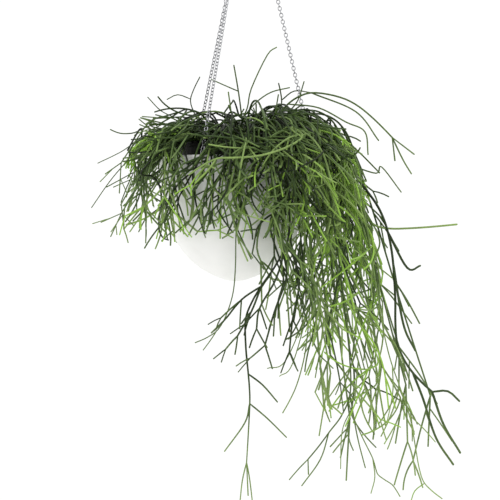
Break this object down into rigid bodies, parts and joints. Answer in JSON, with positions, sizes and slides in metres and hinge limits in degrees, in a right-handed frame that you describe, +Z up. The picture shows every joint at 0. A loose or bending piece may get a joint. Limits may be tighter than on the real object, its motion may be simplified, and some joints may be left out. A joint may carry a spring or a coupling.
{
  "type": "potted mistletoe cactus",
  "caption": "Mistletoe cactus with thin forking green stems that arch and trail from a white rounded bowl, hung on thin steel chains from a ring.",
  "frame": {"origin": "highest point of the hole in the hanging ring, where the hook that carries the pot bears", "axes": "+Z up, +X to the side where the long stems trail, +Y to the back of the view in the picture"},
  "size_m": [0.4594, 0.3397, 0.7925],
  "materials": {
    "white_glaze": "satin",
    "steel": "satin",
    "nursery_plastic": "matte",
    "peat_soil": "matte",
    "stem_green": "satin"
  },
  "bodies": {
    "root": {"cover_pot": "white_glaze", "nursery_pot": "nursery_plastic", "soil": "peat_soil", "hanging_ring": "steel", "chain_back": "steel", "chain_front": "steel", "chain_right": "steel", "hook_back": "steel", "hook_front": "steel", "hook_right": "steel", "spray_arch_right": "stem_green", "spray_light_run": "stem_green", "spray_dark_edge": "stem_green", "spray_dark_group": "stem_green", "spray_thin_left": "stem_green", "spray_low_fork": "stem_green", "spray_crown_mid": "stem_green", "spray_crown_left": "stem_green", "spray_crown_right": "stem_green", "spray_cascade_1": "stem_green", "spray_cascade_2": "stem_green", "spray_cascade_3": "stem_green", "spray_cascade_4": "stem_green", "spray_cascade_5": "stem_green", "spray_cascade_6": "stem_green", "spray_cascade_7": "stem_green", "spray_cascade_8": "stem_green", "spray_cascade_9": "stem_green", "spray_cascade_10": "stem_green", "spray_veil_1": "stem_green", "spray_veil_2": "stem_green", "spray_veil_3": "stem_green", "spray_veil_4": "stem_green", "spray_veil_5": "stem_green", "spray_left_1": "stem_green", "spray_left_2": "stem_green", "spray_left_3": "stem_green", "spray_left_4": "stem_green", "spray_left_5": "stem_green", "spray_left_6": "stem_green", "spray_left_7": "stem_green", "spray_left_8": "stem_green", "spray_front_1": "stem_green", "spray_front_2": "stem_green", "spray_front_3": "stem_green", "spray_front_4": "stem_green", "spray_front_5": "stem_green", "spray_front_6": "stem_green", "spray_front_7": "stem_green", "spray_front_8": "stem_green", "spray_back_1": "stem_green", "spray_back_2": "stem_green", "spray_back_3": "stem_green", "spray_back_4": "stem_green", "spray_back_5": "stem_green", "spray_back_6": "stem_green", "spray_crown_1": "stem_green", "spray_crown_2": "stem_green", "spray_crown_3": "stem_green", "spray_crown_4": "stem_green"}
  },
  "joints": []
}
